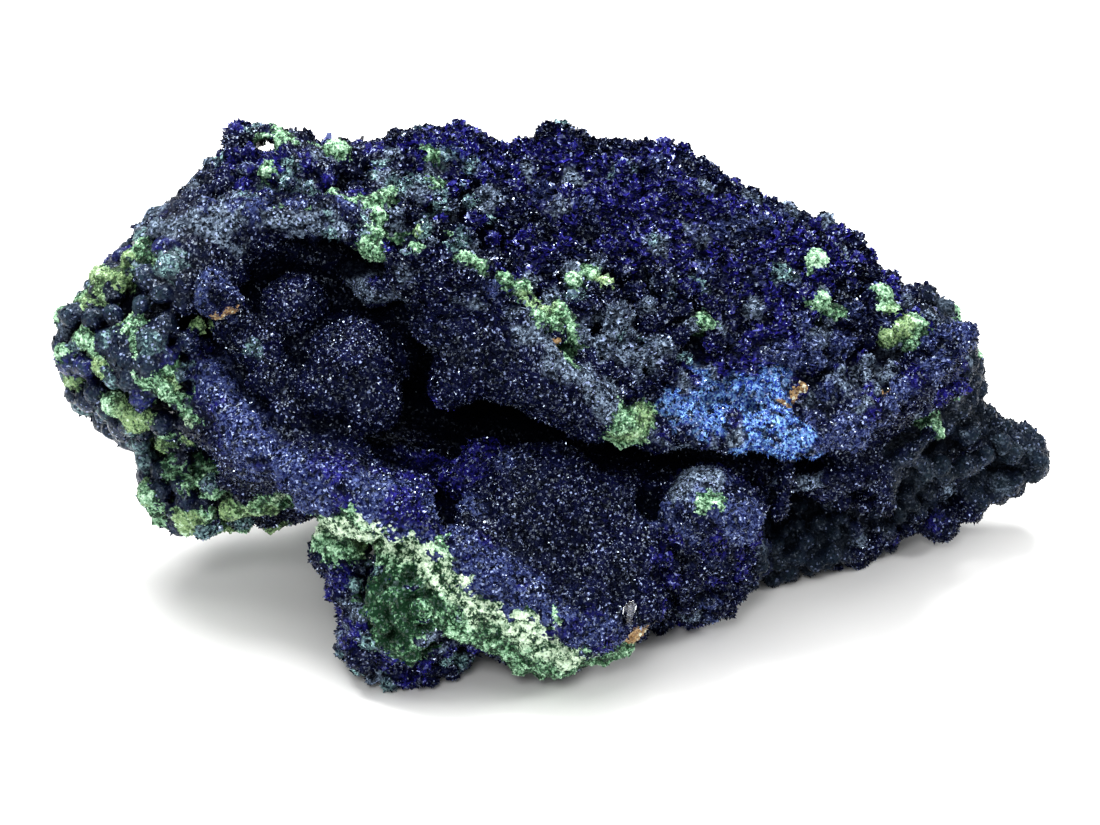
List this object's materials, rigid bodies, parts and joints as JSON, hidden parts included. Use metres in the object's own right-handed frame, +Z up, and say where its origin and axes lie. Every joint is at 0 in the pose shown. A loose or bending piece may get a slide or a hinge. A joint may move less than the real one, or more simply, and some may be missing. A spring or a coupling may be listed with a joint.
{
  "type": "azurite specimen",
  "caption": "Cabinet mineral specimen: a free-standing mass of botryoidal azurite with a druse-lined vug and malachite crusts.",
  "frame": {"origin": "under the middle of the specimen's box, on the surface that it stands on", "axes": "+X along the specimen from its rounded left end to its tail, +Y from the open vug to the closed back, +Z up"},
  "size_m": [0.1124, 0.0526, 0.0508],
  "materials": {
    "azurite": "satin",
    "malachite": "matte",
    "limonite": "matte"
  },
  "bodies": {
    "root": {"azurite_mass": "azurite"}
  },
  "joints": []
}
